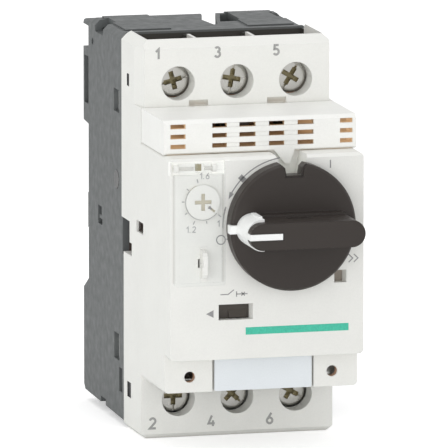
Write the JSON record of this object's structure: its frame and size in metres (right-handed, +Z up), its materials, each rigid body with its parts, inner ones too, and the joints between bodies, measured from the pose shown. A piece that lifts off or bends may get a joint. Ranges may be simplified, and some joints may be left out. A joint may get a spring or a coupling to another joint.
{
  "type": "motor protection breaker",
  "caption": "Motor protection breaker with a rotary knob, a setting dial under a clear flap, screw terminals and a snap foot for a top hat rail.",
  "frame": {"origin": "centre of the rail seat: on the floor of the rail channel, on the rail's centre line and the body's middle plane", "axes": "+X to the right seen from the front, -Y out of the front face, +Z up towards the line terminals"},
  "size_m": [0.0446, 0.097, 0.0904],
  "materials": {
    "grey_housing": "fine spark-eroded matte, moulded thermoplastic",
    "white_housing": "off-white moulded thermoplastic, satin",
    "label_plate": "smooth cool white marker plate",
    "clear_cover": "clear moulded polycarbonate",
    "zinc_steel": "zinc plated steel, satin",
    "knob_plastic": "charcoal moulded plastic, fine grain",
    "white_slider": "bright white moulded plastic",
    "tester_plastic": "dark brown moulded plastic",
    "spring_steel": "drawn spring wire",
    "copper": "plated and bare copper",
    "chute_steel": "steel plates in fibre cheeks",
    "core_iron": "soft iron, plated",
    "bimetal": "bimetal strip with heater winding",
    "black_moulding": "black thermoset moulding",
    "red_moulding": "red thermoplastic moulding"
  },
  "bodies": {
    "root": {"base_housing": "grey_housing", "front_cover": "white_housing", "vent_cover": "white_housing", "marker_label": "label_plate", "setting_cover_pins": "white_housing", "window_plate": "tester_plastic", "latch_spring": "spring_steel", "line_terminal_1": "copper", "line_terminal_2": "copper", "line_terminal_3": "copper", "load_terminal_1": "copper", "load_terminal_2": "copper", "load_terminal_3": "copper", "arc_chute_1": "chute_steel", "arc_chute_2": "chute_steel", "arc_chute_3": "chute_steel", "magnet_coil_1": "copper", "magnet_coil_2": "copper", "magnet_coil_3": "copper", "mechanism_frame": "zinc_steel", "latch_pin": "zinc_steel", "toggle_spring": "spring_steel", "base_rivets": "zinc_steel"},
    "knob": {"rotary_knob": "knob_plastic", "drive_shaft": "zinc_steel"},
    "lock": {"lock_slider": "white_slider"},
    "dial": {"setting_dial": "white_housing"},
    "flap": {"setting_cover": "clear_cover"},
    "tester": {"test_slider": "tester_plastic"},
    "rail_foot": {"rail_latch": "grey_housing"},
    "carrier": {"contact_carrier": "black_moulding", "contact_bridge_1": "copper", "contact_bridge_2": "copper", "contact_bridge_3": "copper", "contact_springs": "spring_steel"},
    "trip": {"trip_bar": "red_moulding"},
    "latch": {"latch_lever": "zinc_steel"},
    "core_1": {"plunger_1": "core_iron"},
    "strip_1": {"bimetal_1": "bimetal"},
    "core_2": {"plunger_2": "core_iron"},
    "strip_2": {"bimetal_2": "bimetal"},
    "core_3": {"plunger_3": "core_iron"},
    "strip_3": {"bimetal_3": "bimetal"},
    "clamp_1": {"clamp_plate_1": "zinc_steel"},
    "screw_1": {"terminal_screw_1": "zinc_steel"},
    "clamp_2": {"clamp_plate_2": "zinc_steel"},
    "screw_2": {"terminal_screw_2": "zinc_steel"},
    "clamp_3": {"clamp_plate_3": "zinc_steel"},
    "screw_3": {"terminal_screw_3": "zinc_steel"},
    "clamp_4": {"clamp_plate_4": "zinc_steel"},
    "screw_4": {"terminal_screw_4": "zinc_steel"},
    "clamp_5": {"clamp_plate_5": "zinc_steel"},
    "screw_5": {"terminal_screw_5": "zinc_steel"},
    "clamp_6": {"clamp_plate_6": "zinc_steel"},
    "screw_6": {"terminal_screw_6": "zinc_steel"}
  },
  "joints": [
    {"name": "knob_turn", "type": "hinge", "parent": "root", "child": "knob", "pos_m": [0.005, -0.0753, 0.0055], "axis": [0, 1, 0], "range_deg": [0, 90]},
    {"name": "lock_pull", "type": "slide", "parent": "knob", "child": "lock", "axis": [-1, 0, 0], "range_m": [0, 0.004]},
    {"name": "dial_turn", "type": "hinge", "parent": "root", "child": "dial", "pos_m": [-0.0148, -0.0753, 0.0113], "axis": [0, 1, 0], "range_deg": [0, 215]},
    {"name": "flap_lift", "type": "hinge", "parent": "root", "child": "flap", "pos_m": [-0.01575, -0.0767, 0.019], "axis": [-1, 0, 0], "range_deg": [0, 95]},
    {"name": "test_push", "type": "slide", "parent": "root", "child": "tester", "axis": [-1, 0, 0], "range_m": [0, 0.0025], "stiffness_N_per_m": 200},
    {"name": "rail_release", "type": "slide", "parent": "root", "child": "rail_foot", "axis": [0, 0, -1], "range_m": [0, 0.003], "stiffness_N_per_m": 2000, "deforming": ["latch_spring"]},
    {"name": "contacts_close", "type": "slide", "parent": "root", "child": "carrier", "axis": [0, 1, 0], "range_m": [0, 0.0044]},
    {"name": "trip_swing", "type": "hinge", "parent": "root", "child": "trip", "pos_m": [0, -0.0455, -0.014], "axis": [1, 0, 0], "range_deg": [0, 12]},
    {"name": "latch_swing", "type": "hinge", "parent": "root", "child": "latch", "pos_m": [0.011, -0.0553, -0.007], "axis": [1, 0, 0], "range_deg": [0, 12]},
    {"name": "core_1_lift", "type": "slide", "parent": "root", "child": "core_1", "axis": [0, 0, 1], "range_m": [0, 0.003]},
    {"name": "strip_1_bend", "type": "hinge", "parent": "root", "child": "strip_1", "pos_m": [-0.0136, -0.0399, -0.0304], "axis": [1, 0, 0], "range_deg": [0, 4]},
    {"name": "core_2_lift", "type": "slide", "parent": "root", "child": "core_2", "axis": [0, 0, 1], "range_m": [0, 0.003]},
    {"name": "strip_2_bend", "type": "hinge", "parent": "root", "child": "strip_2", "pos_m": [0, -0.0399, -0.0304], "axis": [1, 0, 0], "range_deg": [0, 4]},
    {"name": "core_3_lift", "type": "slide", "parent": "root", "child": "core_3", "axis": [0, 0, 1], "range_m": [0, 0.003]},
    {"name": "strip_3_bend", "type": "hinge", "parent": "root", "child": "strip_3", "pos_m": [0.0136, -0.0399, -0.0304], "axis": [1, 0, 0], "range_deg": [0, 4]},
    {"name": "clamp_1_close", "type": "slide", "parent": "root", "child": "clamp_1", "axis": [0, 1, 0], "range_m": [0, 0.004]},
    {"name": "screw_1_turn", "type": "hinge", "parent": "clamp_1", "child": "screw_1", "pos_m": [-0.0136, -0.0443, 0.034], "axis": [0, 1, 0], "range_deg": [0, 2058]},
    {"name": "clamp_2_close", "type": "slide", "parent": "root", "child": "clamp_2", "axis": [0, 1, 0], "range_m": [0, 0.004]},
    {"name": "screw_2_turn", "type": "hinge", "parent": "clamp_2", "child": "screw_2", "pos_m": [0, -0.0443, 0.034], "axis": [0, 1, 0], "range_deg": [0, 2058]},
    {"name": "clamp_3_close", "type": "slide", "parent": "root", "child": "clamp_3", "axis": [0, 1, 0], "range_m": [0, 0.004]},
    {"name": "screw_3_turn", "type": "hinge", "parent": "clamp_3", "child": "screw_3", "pos_m": [0.0136, -0.0443, 0.034], "axis": [0, 1, 0], "range_deg": [0, 2058]},
    {"name": "clamp_4_close", "type": "slide", "parent": "root", "child": "clamp_4", "axis": [0, 1, 0], "range_m": [0, 0.004]},
    {"name": "screw_4_turn", "type": "hinge", "parent": "clamp_4", "child": "screw_4", "pos_m": [-0.0136, -0.0443, -0.03775], "axis": [0, 1, 0], "range_deg": [0, 2058]},
    {"name": "clamp_5_close", "type": "slide", "parent": "root", "child": "clamp_5", "axis": [0, 1, 0], "range_m": [0, 0.004]},
    {"name": "screw_5_turn", "type": "hinge", "parent": "clamp_5", "child": "screw_5", "pos_m": [0, -0.0443, -0.03775], "axis": [0, 1, 0], "range_deg": [0, 2058]},
    {"name": "clamp_6_close", "type": "slide", "parent": "root", "child": "clamp_6", "axis": [0, 1, 0], "range_m": [0, 0.004]},
    {"name": "screw_6_turn", "type": "hinge", "parent": "clamp_6", "child": "screw_6", "pos_m": [0.0136, -0.0443, -0.03775], "axis": [0, 1, 0], "range_deg": [0, 2058]}
  ],
  "couplings": [
    {"joint": "knob_turn", "follows": "contacts_close", "rad_per_m": 357},
    {"joint": "latch_swing", "follows": "trip_swing", "ratio": 1},
    {"joint": "screw_1_turn", "follows": "clamp_1_close", "rad_per_m": 8976},
    {"joint": "screw_2_turn", "follows": "clamp_2_close", "rad_per_m": 8976},
    {"joint": "screw_3_turn", "follows": "clamp_3_close", "rad_per_m": 8976},
    {"joint": "screw_4_turn", "follows": "clamp_4_close", "rad_per_m": 8976},
    {"joint": "screw_5_turn", "follows": "clamp_5_close", "rad_per_m": 8976},
    {"joint": "screw_6_turn", "follows": "clamp_6_close", "rad_per_m": 8976}
  ]
}
